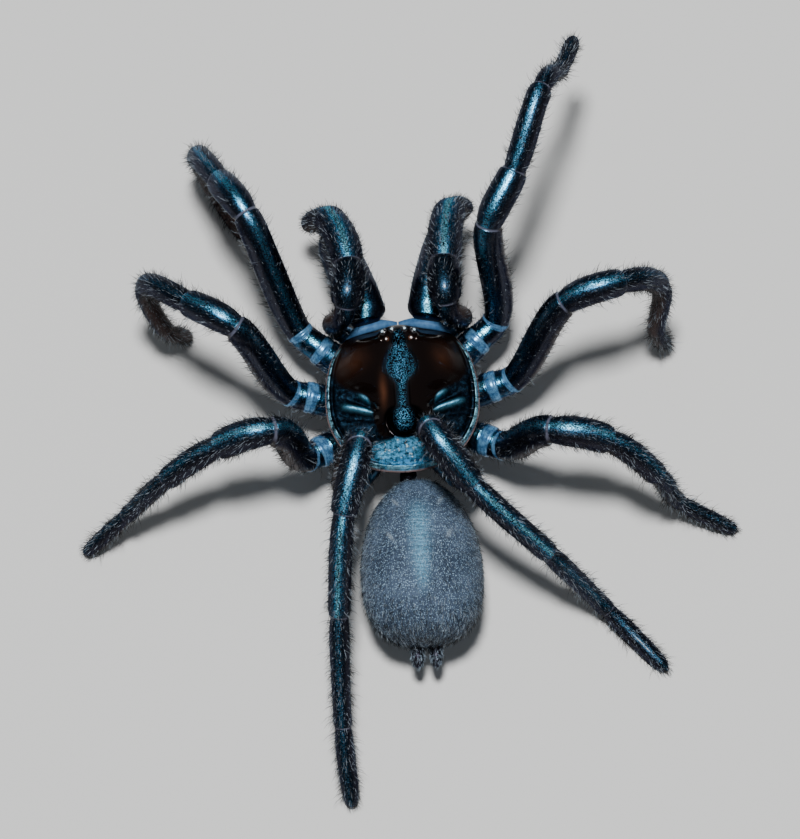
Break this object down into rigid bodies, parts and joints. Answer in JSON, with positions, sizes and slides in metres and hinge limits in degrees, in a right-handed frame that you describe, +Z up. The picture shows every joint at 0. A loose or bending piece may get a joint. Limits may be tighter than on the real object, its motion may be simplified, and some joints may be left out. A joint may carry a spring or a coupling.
{
  "type": "funnel-web spider model",
  "caption": "Life-size still model of a blue-black funnel-web spider, standing with a front leg raised, with separate carapace, jaws, palps, legs, abdomen and spinnerets.",
  "frame": {"origin": "on the floor, under the middle of the box round the whole spider", "axes": "+Y towards the head, +X towards the spider's right side, +Z up"},
  "size_m": [0.0376, 0.0422, 0.0159],
  "materials": {
    "carapace": "smooth glossy black-brown cuticle with a blue-green gleam",
    "cuticle": "glossy blue-black cuticle under short dark bristles",
    "membrane": "soft pale blue joint membrane",
    "fang": "polished red-black",
    "eye": "small glassy lenses on a dark mound",
    "abdomen": "velvety blue-grey skin with fine short hairs"
  },
  "bodies": {
    "root": {"carapace": "carapace", "eye_tubercle": "eye", "sternum": "cuticle", "pedicel": "membrane", "abdomen": "abdomen", "spinneret_left": "abdomen", "spinneret_right": "abdomen", "chelicera_left": "cuticle", "chelicera_right": "cuticle", "fang_left": "fang", "fang_right": "fang", "palp_left_coxa": "cuticle", "palp_left_femur": "cuticle", "palp_left_patella_tibia": "cuticle", "palp_left_tarsus": "cuticle", "palp_right_coxa": "cuticle", "palp_right_femur": "cuticle", "palp_right_patella_tibia": "cuticle", "palp_right_tarsus": "cuticle", "leg_left_1_coxa": "cuticle", "leg_left_1_femur": "cuticle", "leg_left_1_patella_tibia": "cuticle", "leg_left_1_metatarsus": "cuticle", "leg_left_1_tarsus": "cuticle", "leg_left_2_coxa": "cuticle", "leg_left_2_femur": "cuticle", "leg_left_2_patella_tibia": "cuticle", "leg_left_2_metatarsus": "cuticle", "leg_left_2_tarsus": "cuticle", "leg_left_3_coxa": "cuticle", "leg_left_3_femur": "cuticle", "leg_left_3_patella_tibia": "cuticle", "leg_left_3_metatarsus": "cuticle", "leg_left_3_tarsus": "cuticle", "leg_left_4_coxa": "cuticle", "leg_left_4_femur": "cuticle", "leg_left_4_patella_tibia": "cuticle", "leg_left_4_metatarsus": "cuticle", "leg_left_4_tarsus": "cuticle", "leg_right_1_coxa": "cuticle", "leg_right_1_femur": "cuticle", "leg_right_1_patella_tibia": "cuticle", "leg_right_1_metatarsus": "cuticle", "leg_right_1_tarsus": "cuticle", "leg_right_2_coxa": "cuticle", "leg_right_2_femur": "cuticle", "leg_right_2_patella_tibia": "cuticle", "leg_right_2_metatarsus": "cuticle", "leg_right_2_tarsus": "cuticle", "leg_right_3_coxa": "cuticle", "leg_right_3_femur": "cuticle", "leg_right_3_patella_tibia": "cuticle", "leg_right_3_metatarsus": "cuticle", "leg_right_3_tarsus": "cuticle", "leg_right_4_coxa": "cuticle", "leg_right_4_femur": "cuticle", "leg_right_4_patella_tibia": "cuticle", "leg_right_4_metatarsus": "cuticle", "leg_right_4_tarsus": "cuticle"}
  },
  "joints": []
}
